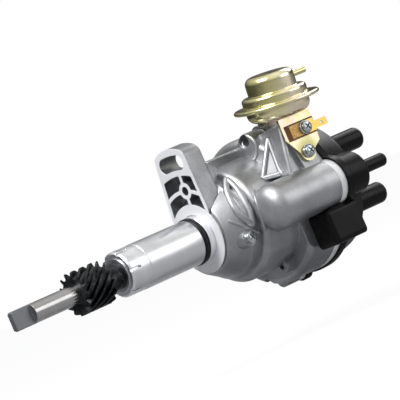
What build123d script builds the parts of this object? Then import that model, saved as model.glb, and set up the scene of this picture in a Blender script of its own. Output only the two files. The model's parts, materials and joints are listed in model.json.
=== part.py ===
"""Ignition distributor: +X runs up the shaft to the cap, +Z to the clamp lug, x = 0 is the engine face."""
import os
from math import cos, pi, radians, sin, sqrt, tan

from build123d import *

os.makedirs("parts", exist_ok=True)

# Clearances
running_fit = 0.03
loose_fit = 0.3
screw_fit = 0.1

# Shaft and drive gear
shaft_r = 6.0
shaft_tip_x = -149.0
shaft_top_x = 74.0
shaft_chamfer = 0.8
tang_length = 13.7
tang_thick = 4.0
gear_x = -101.5
gear_length = 21.8
gear_r = 13.3
gear_root_r = 10.2
gear_teeth = 13
gear_root_share = 0.27
gear_tip_share = 0.13
gear_helix_deg = 40.0
hub_r = 8.5
hub_length = 11.8
gear_pin_r = 2.0
gear_pin_from_barrel = 9.3
washer_thick = 0.6
washer_r = 10.5

# Barrel and pilot
barrel_r = 14.3
barrel_end_r = 14.1
barrel_end_x = -67.2
barrel_chamfer = 1.0
barrel_step_x = -52.0
barrel_bore_r = 8.0
pilot_r = 15.0
pilot_length = 4.5
core_r = 15.6
ring_section_r = 1.75
ring_outer_r = 14.98
ring_x = -6.5
bush_length = 20.0
oil_slot_length = 8.0
oil_slot_width = 1.8
oil_slot_depth = 1.6
oil_slots = 6

# Clamp lug
flange_r = 22.0
flange_thick = 7.0
lug_thick = 14.0
lug_lean_deg = 4.5
lug_foot_half = 18.5
lug_foot_reach = 10.0
lug_top_half = 14.3
lug_reach = 58.0
lug_crown = 4.0
lug_corner_r = 6.0
lug_edge_round = 1.5
slot_land = 9.25
slot_width = 9.5
slot_length = 22.9
lug_pocket_depth = 10.0
lug_hole_r = 2.8
lug_hole_across = -3.6
lug_hole_reach = 30.4
lug_web = 2.4
lug_slot_wall = 3.6
lug_rim = 2.4

# Housing bowl
neck_x = 7.0
neck_r = 24.0
shoulder_x = 15.5
shoulder_drop = 5.3
bowl_x = 22.0
bowl_r = 36.3
bowl_wall = 4.3
bowl_round = 4.0
rim_round = 4.0
cast_round = 2.0
bowl_floor_x = 26.0
step_x = 50.0
rim_r = 47.2
rim_wall = 4.2
rim_floor_x = 57.0
seal_x = 73.0
seal_thick = 5.0
lobe_r = 14.6
lobe_inset = 3.9
lobe_x = 20.0
lobe_nose = 9.0
lobe_wall = 3.1
ear_inset = 0.2
ear_angle_deg = 111.2
ear_r = 6.0
ear_x = 62.0
recess_inset = 13.2
recess_low_z = -33.0
recess_high_z = -14.6
recess_wall = 2.2
pad_x = 24.0
pad_length = 38.0
pad_low_y = -6.0
pad_high_y = 22.0
pad_rise = 5.7
side_boss_x = 44.0
side_boss_y = -9.0
side_boss_z = -36.0
side_boss_r = 5.0
rib_thick = 3.2
rib_spread = 11.0
rib_top_z = 44.0
neck_boss_x = 12.0
neck_boss_z = -11.0
neck_boss_r = 5.2
neck_boss_y = -30.2

# Advance pedestal
pedestal_x = 54.0
pedestal_low_z = 10.0
pedestal_high_z = 44.0
pedestal_proud = 0.3
pedestal_deep = 22.5
pedestal_notch_depth = 3.0
pedestal_foot_x = 46.0

# Screws
screw_r = 1.95
screw_head_r = 3.9
screw_head_high = 2.6
cap_screw_head_r = 3.2
screw_slot_wide = 1.0
screw_slot_deep = 1.2
screw_length = 9.0
screw_tip_gap = 2.0
blind_floor = 1.0

# Cap
cap_overhang = 1.3
cap_flange_thick = 5.0
cap_cone_foot_inset = 0.7
cap_cone_top_inset = 5.2
dome_round = 7.0
cap_top_x = 105.0
cap_wall = 6.0
cap_hollow_inset = 9.2
tower_reach = 26.6
tower_r = 6.9
tower_top_x = 136.5
tower_bore_r = 3.6
tower_bore_depth = 22.0
tower_nose = 3.0
coil_tower_r = 4.3
coil_tower_top_x = 126.0
coil_tower_bore_r = 2.5
cap_lobe_top_x = 100.0
cap_lobe_round = 1.5
brush_boss_r = 5.0
brush_boss_x = 92.0
brush_r = 2.5
brush_seat = 4.0
strip_x = 100.5
strip_thick = 1.5
strip_half = 2.0
contact_r = 2.0
contact_x = 83.5

# Vacuum can
can_x = 66.0
can_inset = 7.2
can_rise = 9.8
can_lean_deg = 8.7
can_rim_r = 26.5
can_sheet = 0.9
membrane_thick = 0.6
cover_low_r = 20.6
cover_step = 8.5
cover_high_r = 15.5
cover_top = 20.0
cover_round = 4.0
base_r = 20.0
base_depth = 8.0
base_round = 5.0
sheet_bend = 0.9
cup_r = 11.7
cup_thick = 2.0
nipple_r = 1.8
nipple_bore_r = 1.0
nipple_collar_r = 2.6
nipple_collar_length = 1.5
nipple_height = 13.5
nipple_tip_x = 96.5
nipple_root = 2.0
nipple_chamfer = 0.6
rod_r = 1.5
rod_bore_r = 2.3
eye_r = 4.0
eye_thick = 2.0
eye_slack = 1.3
can_spring_wide = 1.6

# Bracket and terminal
bracket_thick = 1.8
bracket_seat_r = 15.0
bracket_round_r = 6.0
bracket_drop = 2.0
tongue_top_half = 13.0
tongue_left_half = 13.6
tongue_left_z = 34.0
tongue_right_half = 14.0
tongue_right_z = 42.0
tongue_foot_half = 12.5
tongue_foot_z = 27.0
low_screw_z = 23.0
high_screw_x = 69.0
high_screw_z = 37.0
board_thick = 1.5
board_x = 56.0
board_length = 22.5
board_low_z = 32.0
board_high_z = 42.0
terminal_thick = 0.8
terminal_inset = 1.0
spade_length = 9.5
spade_half = 2.4
spade_z = 36.3
spade_hole_r = 0.9

# Connector
connector_x = 57.0
connector_length = 26.0
connector_proud = 4.8
connector_low_z = -36.6
connector_high_z = -14.8
connector_wall = 2.0
connector_depth = 15.0
pin_length = 8.0
connector_round = 3.0
pin_r = 0.9
pin_pitch = 6.0
pin_count = 3
lead_window_length = 8.0
lead_window_height = 6.0

# Governor
governor_x = 30.0
governor_thick = 2.5
governor_gap = 2.0
weight_x = 33.0
weight_thick = 6.0
weight_inner_r = 10.0
weight_inset = 6.0
weight_start_deg = -20.0
weight_end_deg = 103.0
pivot_reach = 19.0
pivot_r = 2.0
drive_reach = 16.0
drive_drop = 0.8
drive_r = 1.5
drive_slack = 0.9
drive_swing = 5.0
drive_slot_drop = 1.13
cam_plate_x = 40.5
cam_plate_thick = 2.0
cam_plate_inset = 5.0
spring_low_inset = 3.0
spring_low_deg = -32.0
spring_high_reach = 20.0
spring_high_deg = -62.0
spring_post_r = 1.2
spring_r = 1.9
spring_x = 36.0

# Pickup and rotor
sleeve_r = 8.0
sleeve_top_x = 78.0
collar_r = 13.0
collar_wall = 2.0
base_plate_thick = 3.5
pickup_plate_thick = 2.2
plate_notch_z = -7.8
plate_notch_gap = 1.0
vacuum_pin_r = 1.5
vacuum_pin_land = 3.72
vacuum_pin_proud = 1.0
reluctor_x = 64.0
reluctor_thick = 5.0
reluctor_core_r = 11.0
reluctor_tip_r = 17.5
reluctor_tooth = 5.0
pickup_gap = 0.6
core_length = 5.0
coil_length = 9.0
coil_half = 7.0
coil_round = 2.0
dust_x = 70.4
dust_thick = 1.0
dust_hole_gap = 1.0
rotor_x = 73.0
rotor_hub_r = 11.0
rotor_top_x = 86.0
rotor_arm_x = 80.0
rotor_arm_half = 6.0
rotor_arm_reach = 22.0
rotor_tail = 11.0
rotor_contact_thick = 1.5
rotor_contact_half = 3.5
rotor_gap = 0.6

# Places worked out from the sizes above
lug_shoulder_reach = lug_reach - lug_crown
slot_arc_r = lug_reach - slot_land
shoulder_r = bowl_r - shoulder_drop
pad_top_z = bowl_r + pad_rise
lobe_y = lobe_inset - rim_r
ear_reach = rim_r - ear_inset
recess_y = recess_inset - rim_r
flat_low_z = recess_low_z - 2 * lobe_wall
pedestal_front_y = -rim_r - pedestal_proud
pedestal_back_y = pedestal_front_y + pedestal_deep
connector_front_y = -rim_r - connector_proud
cap_cone_foot_r = rim_r - cap_cone_foot_inset
cap_cone_top_r = rim_r - cap_cone_top_inset
cap_hollow_r = rim_r - cap_hollow_inset
can_y = can_inset - rim_r
can_z = rim_r + can_rise
governor_r = bowl_r - bowl_wall - governor_gap
weight_outer_r = governor_r - weight_inset
cam_plate_r = governor_r - cam_plate_inset
spring_low_reach = governor_r - spring_low_inset
seal_end_x = seal_x + seal_thick
flange_end_x = seal_end_x + cap_flange_thick
ring_centre_r = ring_outer_r - ring_section_r
ear_y = ear_reach * cos(radians(ear_angle_deg))
ear_z = ear_reach * sin(radians(ear_angle_deg))
hollow_r = rim_r - rim_wall
tower_offset = tower_reach / sqrt(2)
tower_bore_x = tower_top_x - tower_bore_depth
cap_ceiling_x = cap_top_x - cap_wall
can_lean = radians(can_lean_deg)
can_plane = Plane((can_x, can_y, can_z), x_dir=(1, 0, 0), z_dir=(0, -sin(can_lean), cos(can_lean)))
vacuum_pin_reach = -can_y - can_z * tan(can_lean)
pickup_plate_r = vacuum_pin_reach + vacuum_pin_land
lug_lean = radians(lug_lean_deg)
lug_plane = Plane((0, 0, 0), x_dir=(0, cos(lug_lean), sin(lug_lean)), z_dir=(1, 0, 0))
bracket_face_y = pedestal_front_y - bracket_thick
board_face_y = bracket_face_y - board_thick
terminal_face_y = board_face_y - terminal_thick
pickup_plate_x = rim_floor_x + base_plate_thick + loose_fit


def turned(*profile, mode=Mode.ADD):
    """Turn a closed profile of (x, radius) points about the shaft axis."""
    with BuildSketch(Plane.XY) as outline:
        with BuildLine():
            Polyline(*profile, close=True)
        make_face()
    revolve(outline.sketch, axis=Axis.X, mode=mode)


def tube(start_x, end_x, outer_r, inner_r=0.0, mode=Mode.ADD):
    """A plain ring or disc about the shaft axis."""
    turned((start_x, inner_r), (end_x, inner_r), (end_x, outer_r), (start_x, outer_r), mode=mode)


def rod(plane, length, radius, mode=Mode.ADD):
    """A round bar that starts on the plane."""
    with BuildSketch(plane) as outline:
        Circle(radius)
    extrude(outline.sketch, amount=length, mode=mode)


def block(x0, x1, y0, y1, z0, z1, mode=Mode.ADD):
    """A block between two corners."""
    with Locations(((x0 + x1) / 2, (y0 + y1) / 2, (z0 + z1) / 2)):
        Box(x1 - x0, y1 - y0, z1 - z0, mode=mode)


def along_x(x, y, z):
    """A plane facing +X with its origin at the given point."""
    return Plane((x, y, z), x_dir=(0, 1, 0), z_dir=(1, 0, 0))


def facing_front(x, y, z):
    """A plane facing -Y with its origin at the given point."""
    return Plane((x, y, z), x_dir=(1, 0, 0), z_dir=(0, -1, 0))


def connector_side(proud=0.0):
    """The side of the rim that is cut flat for the connector."""
    low = flat_low_z - proud
    high = recess_high_z + proud
    reach = rim_r + lobe_r
    with Locations(((recess_y + proud - reach / 2), (low + high) / 2)):
        Rectangle(reach, high - low, mode=Mode.SUBTRACT)


def rim_outline(extra=0.0):
    """The outline shared by the housing rim, the seal and the cap: bowl, lobe and two ears."""
    with BuildSketch(Plane.YZ) as outline:
        Circle(rim_r + extra)
        with Locations((lobe_y, 0)):
            Circle(lobe_r + extra)
        with Locations((ear_y, ear_z), (-ear_y, -ear_z)):
            Circle(ear_r + extra)
        connector_side()
    return outline.sketch


def hollow_outline(radius):
    """The hollow inside the rim, with the wall kept behind the connector."""
    with BuildSketch(Plane.YZ) as outline:
        Circle(radius)
        connector_side(proud=recess_wall)
    return outline.sketch


def screw(plane, length, head_r=screw_head_r):
    """A slotted pan screw whose head stands on the plane and whose shank goes behind it."""
    rod(plane, screw_head_high, head_r)
    rod(plane, -length, screw_r)
    with BuildSketch(plane.offset(screw_head_high)) as slot:
        Rectangle(3 * head_r, screw_slot_wide)
    extrude(slot.sketch, amount=-screw_slot_deep, mode=Mode.SUBTRACT)


def save(part, name):
    """Label a finished piece and write it."""
    part.label = name
    export_step(part, "parts/" + name + ".step")


# Side lobe of the housing, with its rounded lower end
with BuildPart() as lobe:
    rod(along_x(lobe_x, lobe_y, 0), seal_x - lobe_x, lobe_r)
    fillet(lobe.faces().sort_by(Axis.X)[0].edges(), lobe_nose)

# Turned outside of the casting, with the bowl's rounded steps
with BuildPart() as bowl:
    turned(
        (neck_x, 0), (neck_x, neck_r), (shoulder_x, shoulder_r), (bowl_x, shoulder_r), (bowl_x, bowl_r),
        (step_x, bowl_r), (step_x, rim_r), (seal_x, rim_r), (seal_x, 0),
    )
    circles = bowl.edges().filter_by(GeomType.CIRCLE)
    bowl_edges = circles.filter_by(lambda ring: abs(ring.radius - bowl_r) < 0.1)
    fillet(bowl_edges.sort_by(Axis.X)[0], bowl_round)
    circles = bowl.edges().filter_by(GeomType.CIRCLE)
    rim_edges = circles.filter_by(lambda ring: abs(ring.radius - rim_r) < 0.1)
    fillet(rim_edges.sort_by(Axis.X)[0], rim_round)

# Pad on top of the bowl and the pedestal under the vacuum can, with their cast corners rounded
with BuildPart() as pad:
    block(pad_x, pad_x + pad_length, pad_low_y, pad_high_y, 0, pad_top_z)
    fillet(pad.edges().filter_by(Axis.Z), 2 * cast_round)
    fillet(pad.faces().sort_by(Axis.Z)[-1].edges(), cast_round)
with BuildPart() as pedestal:
    with BuildSketch(facing_front(0, pedestal_front_y, 0)):
        with BuildLine():
            Polyline((pedestal_foot_x, pedestal_low_z), (pedestal_x, pedestal_high_z),
                     (seal_x, pedestal_high_z), (seal_x, pedestal_low_z), close=True)
        make_face()
    extrude(amount=pedestal_front_y - pedestal_back_y)
    fillet(pedestal.faces().sort_by(Axis.X)[0].edges().filter_by(Axis.Z, tolerance=15), cast_round)
    notch_foot_z = pedestal_low_z + lobe_wall
    with BuildSketch(facing_front(0, pedestal_front_y, 0)):
        with BuildLine():
            Polyline((pedestal_foot_x + lobe_wall, notch_foot_z),
                     (pedestal_x + pedestal_notch_depth / 2, pedestal_high_z - 2 * lobe_wall),
                     (can_x - bracket_round_r, notch_foot_z), close=True)
        make_face()
    extrude(amount=-pedestal_notch_depth, mode=Mode.SUBTRACT)

# Housing casting: barrel, neck, bowl, lobe, pads and pedestal
with BuildPart() as housing:
    turned(
        (barrel_end_x, 0), (barrel_end_x, barrel_end_r - barrel_chamfer),
        (barrel_end_x + barrel_chamfer, barrel_end_r),
        (barrel_step_x, barrel_end_r), (barrel_step_x, barrel_r), (-pilot_length, barrel_r),
        (-pilot_length, pilot_r), (0, pilot_r), (0, core_r), (neck_x, core_r), (neck_x, 0),
    )
    add(bowl.part)
    add(lobe.part)
    block(bowl_x + lobe_nose, seal_x, lobe_y, 0, -lobe_r, lobe_r)
    add(pad.part)
    add(pedestal.part)
    for side in (1, -1):
        rod(along_x(ear_x, side * ear_y, side * ear_z), seal_x - ear_x, ear_r)
    rod(along_x(side_boss_x, side_boss_y, side_boss_z), step_x - side_boss_x, side_boss_r)
    rod(facing_front(neck_boss_x, 0, neck_boss_z), -neck_boss_y, neck_boss_r)
    with BuildSketch(Plane.XZ) as rib:
        with BuildLine():
            Polyline((lug_thick, 0), (lug_thick, rib_top_z), (bowl_x + rib_thick, bowl_r), (bowl_x, 0),
                     close=True)
        make_face()
    for rib_y in (-rib_spread, 0, rib_spread):
        extrude(rib.sketch.moved(Location((0, rib_y, 0))), amount=rib_thick / 2, both=True)
    block(bowl_x, seal_x, -2 * rim_r, recess_y, flat_low_z, recess_high_z, mode=Mode.SUBTRACT)
    tube(barrel_end_x, bowl_floor_x, barrel_bore_r, mode=Mode.SUBTRACT)
    tube(bowl_floor_x, rim_floor_x, bowl_r - bowl_wall, mode=Mode.SUBTRACT)
    extrude(hollow_outline(hollow_r).moved(Location((rim_floor_x, 0, 0))), amount=seal_x - rim_floor_x,
            mode=Mode.SUBTRACT)
    rod(along_x(rim_floor_x, lobe_y, 0), seal_x - rim_floor_x, lobe_r - lobe_wall, mode=Mode.SUBTRACT)
    turned(
        (ring_x - ring_section_r - loose_fit, ring_centre_r - ring_section_r),
        (ring_x + ring_section_r + loose_fit, ring_centre_r - ring_section_r),
        (ring_x + ring_section_r + loose_fit, pilot_r), (ring_x - ring_section_r - loose_fit, pilot_r),
        mode=Mode.SUBTRACT,
    )
    rod(can_plane, -can_z - eye_r, rod_bore_r, mode=Mode.SUBTRACT)
    for side in (1, -1):
        ear_plane = along_x(ear_x, side * ear_y, side * ear_z)
        rod(ear_plane, seal_x - ear_x, screw_r + screw_fit, mode=Mode.SUBTRACT)
        rod(ear_plane, step_x - ear_x, cap_screw_head_r + loose_fit, mode=Mode.SUBTRACT)
    rod(along_x(side_boss_x, side_boss_y, side_boss_z), step_x - side_boss_x - blind_floor, screw_r,
        mode=Mode.SUBTRACT)
    for hole_plane in (
        facing_front(neck_boss_x, neck_boss_y, neck_boss_z),
        facing_front(can_x, pedestal_front_y, low_screw_z),
        facing_front(high_screw_x, pedestal_front_y, high_screw_z),
    ):
        rod(hole_plane, -screw_length, screw_r + screw_fit, mode=Mode.SUBTRACT)
    lead_window_x = (connector_x + seal_x - lead_window_length) / 2
    lead_window_z = connector_low_z + 2 * lead_window_height
    block(lead_window_x, lead_window_x + lead_window_length, 2 * recess_y, recess_y + 2 * recess_wall,
          lead_window_z, lead_window_z + lead_window_height, mode=Mode.SUBTRACT)
    for turn in range(oil_slots):
        slot_plane = Plane.XY.rotated((90 + turn * 360 / oil_slots, 0, 0))
        with BuildSketch(slot_plane.offset(barrel_end_r - oil_slot_depth)) as oil_slot:
            with Locations((barrel_end_x, 0)):
                SlotOverall(2 * oil_slot_length, oil_slot_width)
        extrude(oil_slot.sketch, amount=2 * oil_slot_depth, mode=Mode.SUBTRACT)
save(housing.part, "housing")

# Clamp lug with its arc slot, round the neck of the housing
with BuildPart() as clamp_lug:
    tube(0, flange_thick, flange_r)
    with BuildSketch(lug_plane) as plate:
        with BuildLine():
            Polyline((-lug_top_half, lug_shoulder_reach), (-lug_foot_half, lug_foot_reach),
                     (lug_foot_half, lug_foot_reach), (lug_top_half, lug_shoulder_reach))
            ThreePointArc((-lug_top_half, lug_shoulder_reach), (0, lug_reach),
                          (lug_top_half, lug_shoulder_reach))
        make_face()
        fillet(plate.vertices().group_by(Axis.Z)[-1], lug_corner_r)
    extrude(plate.sketch, amount=lug_thick)
    fillet(clamp_lug.faces().filter_by(Axis.X).sort_by(Axis.X)[-1].edges().filter_by(
        lambda edge: edge.center().Z > flange_r), lug_edge_round)
    half_swing = (slot_length - slot_width) / slot_arc_r / 2
    with BuildSketch(lug_plane) as arc_slot:
        Circle(slot_arc_r + slot_width / 2)
        Circle(slot_arc_r - slot_width / 2, mode=Mode.SUBTRACT)
        with BuildLine():
            Polyline((0, 0), (2 * lug_reach * sin(half_swing), 2 * lug_reach * cos(half_swing)),
                     (-2 * lug_reach * sin(half_swing), 2 * lug_reach * cos(half_swing)), close=True)
        make_face(mode=Mode.INTERSECT)
        with Locations((slot_arc_r * sin(half_swing), slot_arc_r * cos(half_swing)),
                       (-slot_arc_r * sin(half_swing), slot_arc_r * cos(half_swing))):
            Circle(slot_width / 2)
    extrude(arc_slot.sketch, amount=lug_thick, mode=Mode.SUBTRACT)
    with BuildSketch(lug_plane) as hole:
        with Locations((lug_hole_across, lug_hole_reach)):
            Circle(lug_hole_r)
    extrude(hole.sketch, amount=lug_thick, mode=Mode.SUBTRACT)
    with BuildSketch(lug_plane) as pockets:
        with BuildLine():
            Polyline((-lug_top_half + lug_rim, lug_shoulder_reach),
                     (-lug_foot_half + lug_rim, lug_foot_reach),
                     (lug_foot_half - lug_rim, lug_foot_reach),
                     (lug_top_half - lug_rim, lug_shoulder_reach), close=True)
        make_face()
        Circle(slot_arc_r - slot_width / 2 - lug_slot_wall, mode=Mode.INTERSECT)
        Circle(flange_r, mode=Mode.SUBTRACT)
    with BuildSketch(lug_plane) as webs:
        Circle(lug_hole_reach + lug_web / 2)
        Circle(lug_hole_reach - lug_web / 2, mode=Mode.SUBTRACT)
        with Locations((lug_hole_across, lug_reach / 2)):
            Rectangle(lug_web, lug_reach)
        with Locations((lug_hole_across, lug_hole_reach)):
            Circle(lug_hole_r + lug_web)
    extrude(pockets.sketch - webs.sketch, amount=lug_pocket_depth, mode=Mode.SUBTRACT)
    turned((0, 0), (0, core_r), (neck_x, core_r), (neck_x, neck_r), (shoulder_x, shoulder_r), (shoulder_x, 0),
           mode=Mode.SUBTRACT)
    rod(facing_front(neck_boss_x, 0, neck_boss_z), -neck_boss_y, neck_boss_r, mode=Mode.SUBTRACT)
save(clamp_lug.part, "clamp_lug")

with BuildPart() as o_ring:
    with BuildSketch(Plane.XY):
        with Locations((ring_x, ring_centre_r)):
            Circle(ring_section_r)
    revolve(axis=Axis.X)
save(o_ring.part, "o_ring")

# Bushes pressed into the barrel
for bush_name, bush_x in (("lower_bush", barrel_end_x + barrel_chamfer), ("upper_bush", -bush_length / 2)):
    with BuildPart() as bush:
        tube(bush_x, bush_x + bush_length, barrel_bore_r, shaft_r + running_fit)
    save(bush.part, bush_name)

with BuildPart() as neck_screw:
    screw(facing_front(neck_boss_x, neck_boss_y, neck_boss_z), screw_length)
save(neck_screw.part, "neck_screw")

# Drive shaft with a two-flat tang
pin_plane = facing_front(barrel_end_x - gear_pin_from_barrel, hub_r, 0)
with BuildPart() as shaft:
    tube(shaft_tip_x, shaft_top_x, shaft_r)
    chamfer(shaft.edges().filter_by(GeomType.CIRCLE), shaft_chamfer)
    for side in (1, -1):
        flat_y = side * (tang_thick / 2 + shaft_r)
        block(shaft_tip_x, shaft_tip_x + tang_length, flat_y - shaft_r, flat_y + shaft_r,
              -shaft_r, shaft_r, mode=Mode.SUBTRACT)
    rod(pin_plane, 2 * hub_r, gear_pin_r, mode=Mode.SUBTRACT)
save(shaft.part, "shaft")

# Helical gear: one toothed outline carried along the shaft while it turns
tooth_step = 2 * pi / gear_teeth
tooth_corners = [
    (gear_root_r, -gear_root_share), (gear_r, -gear_tip_share),
    (gear_r, gear_tip_share), (gear_root_r, gear_root_share),
]
with BuildSketch(along_x(gear_x, 0, 0)) as gear_outline:
    with BuildLine():
        Polyline(*[
            (reach * cos((tooth + share) * tooth_step), reach * sin((tooth + share) * tooth_step))
            for tooth in range(gear_teeth)
            for reach, share in tooth_corners
        ], close=True)
    make_face()
gear_pitch_r = (gear_r + gear_root_r) / 2
gear_turn_deg = -gear_length * tan(radians(gear_helix_deg)) / gear_pitch_r * 180 / pi
twisted_teeth = Solid.extrude_linear_with_rotation(
    gear_outline.sketch.faces()[0], (gear_x, 0, 0), (gear_length, 0, 0), gear_turn_deg)
hub_end_x = gear_x + gear_length + hub_length
with BuildPart() as gear:
    add(twisted_teeth)
    tube(gear_x + gear_length, hub_end_x, hub_r)
    tube(gear_x, hub_end_x, shaft_r, mode=Mode.SUBTRACT)
    rod(pin_plane, 2 * hub_r, gear_pin_r, mode=Mode.SUBTRACT)
save(gear.part, "drive_gear")

with BuildPart() as gear_pin:
    rod(pin_plane, 2 * hub_r, gear_pin_r)
save(gear_pin.part, "gear_pin")

with BuildPart() as thrust_washer:
    tube(hub_end_x, hub_end_x + washer_thick, washer_r, shaft_r)
save(thrust_washer.part, "thrust_washer")

# Seal between housing and cap
with BuildPart() as cap_seal:
    extrude(rim_outline().moved(Location((seal_x, 0, 0))), amount=seal_thick)
    extrude(hollow_outline(hollow_r).moved(Location((seal_x, 0, 0))), amount=seal_thick, mode=Mode.SUBTRACT)
    for side in (1, -1):
        rod(along_x(seal_x, side * ear_y, side * ear_z), seal_thick, screw_r + screw_fit, mode=Mode.SUBTRACT)
save(cap_seal.part, "cap_seal")

# Outer shapes that the cap moulding joins: one plug tower, the coil tower and the lobe
with BuildPart() as plug_tower:
    rod(along_x(cap_ceiling_x, 0, 0), tower_top_x - cap_ceiling_x, tower_r)
    fillet(plug_tower.faces().sort_by(Axis.X)[-1].edges(), tower_nose)
with BuildPart() as coil_tower:
    rod(along_x(flange_end_x, lobe_y, 0), coil_tower_top_x - flange_end_x, coil_tower_r)
    fillet(coil_tower.faces().sort_by(Axis.X)[-1].edges(), tower_nose / 2)
with BuildPart() as cap_lobe:
    rod(along_x(flange_end_x, lobe_y, 0), cap_lobe_top_x - flange_end_x, lobe_r - cap_overhang)
    fillet(cap_lobe.faces().sort_by(Axis.X)[-1].edges(), cap_lobe_round)

# Dome of the cap, cut flat on one side so that a plug can reach the connector's mouth
with BuildPart() as dome:
    turned((flange_end_x, 0), (flange_end_x, cap_cone_foot_r), (cap_top_x, cap_cone_top_r), (cap_top_x, 0))
    fillet(dome.faces().sort_by(Axis.X)[-1].edges(), dome_round)
    block(flange_end_x, cap_top_x, -2 * rim_r, recess_y, flat_low_z, recess_high_z, mode=Mode.SUBTRACT)

# Cap moulding with four plug towers and one coil tower
with BuildPart() as cap:
    extrude(rim_outline(cap_overhang).moved(Location((seal_end_x, 0, 0))), amount=cap_flange_thick)
    add(dome.part)
    add(cap_lobe.part)
    add(coil_tower.part)
    for across in (1, -1):
        for up in (1, -1):
            add(plug_tower.part.moved(Location((0, across * tower_offset, up * tower_offset))))
    extrude(hollow_outline(cap_hollow_r).moved(Location((seal_end_x, 0, 0))),
            amount=cap_ceiling_x - seal_end_x, mode=Mode.SUBTRACT)
    tube(brush_boss_x, cap_ceiling_x, brush_boss_r)
    tube(brush_boss_x, strip_x, brush_r + screw_fit, mode=Mode.SUBTRACT)
    for across in (1, -1):
        for up in (1, -1):
            rod(along_x(tower_bore_x, across * tower_offset, up * tower_offset), tower_bore_depth,
                tower_bore_r, mode=Mode.SUBTRACT)
            rod(along_x(cap_ceiling_x, across * tower_offset, up * tower_offset),
                tower_bore_x - cap_ceiling_x, contact_r, mode=Mode.SUBTRACT)
    rod(along_x(strip_x + strip_thick, lobe_y, 0), coil_tower_top_x - strip_x, coil_tower_bore_r,
        mode=Mode.SUBTRACT)
    rod(along_x(strip_x, lobe_y, 0), strip_thick, strip_half, mode=Mode.SUBTRACT)
    block(strip_x, strip_x + strip_thick, lobe_y, strip_half, -strip_half, strip_half, mode=Mode.SUBTRACT)
    for side in (1, -1):
        rod(along_x(seal_end_x, side * ear_y, side * ear_z), cap_flange_thick - blind_floor,
            screw_r + screw_fit, mode=Mode.SUBTRACT)
save(cap.part, "cap")

with BuildPart() as plug_contacts:
    for across in (1, -1):
        for up in (1, -1):
            rod(along_x(contact_x, across * tower_offset, up * tower_offset), tower_bore_x - contact_x,
                contact_r)
save(plug_contacts.part, "plug_contacts")

with BuildPart() as coil_contact:
    block(strip_x, strip_x + strip_thick, lobe_y, strip_half, -strip_half, strip_half)
    rod(along_x(strip_x, lobe_y, 0), strip_thick, strip_half)
save(coil_contact.part, "coil_contact")

brush_x = rotor_top_x + rotor_contact_thick + screw_fit
brush_end_x = brush_boss_x + brush_seat
with BuildPart() as carbon_brush:
    tube(brush_x, brush_end_x, brush_r)
save(carbon_brush.part, "carbon_brush")

with BuildPart() as brush_spring:
    tube(brush_end_x, strip_x, brush_r - screw_fit, brush_r / 2)
save(brush_spring.part, "brush_spring")

with BuildPart() as cap_screws:
    for side in (1, -1):
        screw(Plane((ear_x, side * ear_y, side * ear_z), x_dir=(0, 1, 0), z_dir=(-1, 0, 0)),
              flange_end_x - screw_tip_gap - ear_x, cap_screw_head_r)
save(cap_screws.part, "cap_screws")


def can_shell(*profile, mode=Mode.ADD):
    """Turn a profile of (radius, height) points about the can's own axis."""
    with BuildSketch(Plane(can_plane.origin, x_dir=can_plane.x_dir, z_dir=-can_plane.y_dir)) as outline:
        with BuildLine():
            Polyline(*profile, close=True)
        make_face()
    revolve(outline.sketch, axis=Axis(can_plane.origin, can_plane.z_dir), mode=mode)


def pressed_shell(centre_line, bends):
    """Turn sheet metal that follows a centre line of (radius, height) points with rounded bends."""
    with BuildSketch(Plane(can_plane.origin, x_dir=can_plane.x_dir, z_dir=-can_plane.y_dir)) as sheet:
        with BuildLine() as line:
            FilletPolyline(*centre_line, radius=bends)
        trace(line.line, can_sheet)
    revolve(sheet.sketch, axis=Axis(can_plane.origin, can_plane.z_dir))


# Vacuum can: pressed base, membrane, cover with hose nipple, and the pull rod
cover_foot = can_sheet + membrane_thick
base_line = [
    (rod_bore_r, can_sheet / 2 - base_depth), (base_r - can_sheet / 2, can_sheet / 2 - base_depth),
    (base_r - can_sheet / 2, can_sheet / 2), (can_rim_r, can_sheet / 2),
]
cover_line = [
    (0, cover_top - can_sheet / 2), (cover_high_r - can_sheet / 2, cover_top - can_sheet / 2),
    (cover_high_r - can_sheet / 2, cover_step - can_sheet / 2),
    (cover_low_r - can_sheet / 2, cover_step - can_sheet / 2),
    (cover_low_r - can_sheet / 2, cover_foot + can_sheet / 2), (can_rim_r, cover_foot + can_sheet / 2),
]
with BuildPart() as can_base:
    pressed_shell(base_line, [base_round, sheet_bend])
save(can_base.part, "can_base")

with BuildPart() as can_cover:
    pressed_shell(cover_line, [cover_round, sheet_bend, 2 * sheet_bend, sheet_bend])
    nipple_centre = can_plane.from_local_coords((0, 0, nipple_height))
    nipple_plane = along_x(can_x + cover_high_r - nipple_root, nipple_centre.Y, nipple_centre.Z)
    rod(nipple_plane, 2 * nipple_root, nipple_collar_r, mode=Mode.SUBTRACT)
save(can_cover.part, "can_cover")

nipple_length = nipple_tip_x - nipple_plane.origin.X
with BuildPart() as hose_nipple:
    rod(nipple_plane, nipple_length, nipple_r)
    rod(nipple_plane, nipple_root + nipple_collar_length, nipple_collar_r)
    chamfer(hose_nipple.faces().sort_by(Axis.X)[-1].edges(), nipple_chamfer)
    rod(nipple_plane, nipple_length, nipple_bore_r, mode=Mode.SUBTRACT)
save(hose_nipple.part, "hose_nipple")

with BuildPart() as diaphragm:
    can_shell((cup_r, can_sheet), (can_rim_r, can_sheet), (can_rim_r, cover_foot), (cup_r, cover_foot))
save(diaphragm.part, "diaphragm")

with BuildPart() as diaphragm_spring:
    can_spring_r = cup_r - can_spring_wide
    can_shell((can_spring_r - can_spring_wide, cover_foot + cup_thick / 2),
              (can_spring_r, cover_foot + cup_thick / 2), (can_spring_r, cover_top - can_sheet),
              (can_spring_r - can_spring_wide, cover_top - can_sheet))
save(diaphragm_spring.part, "diaphragm_spring")

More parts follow.
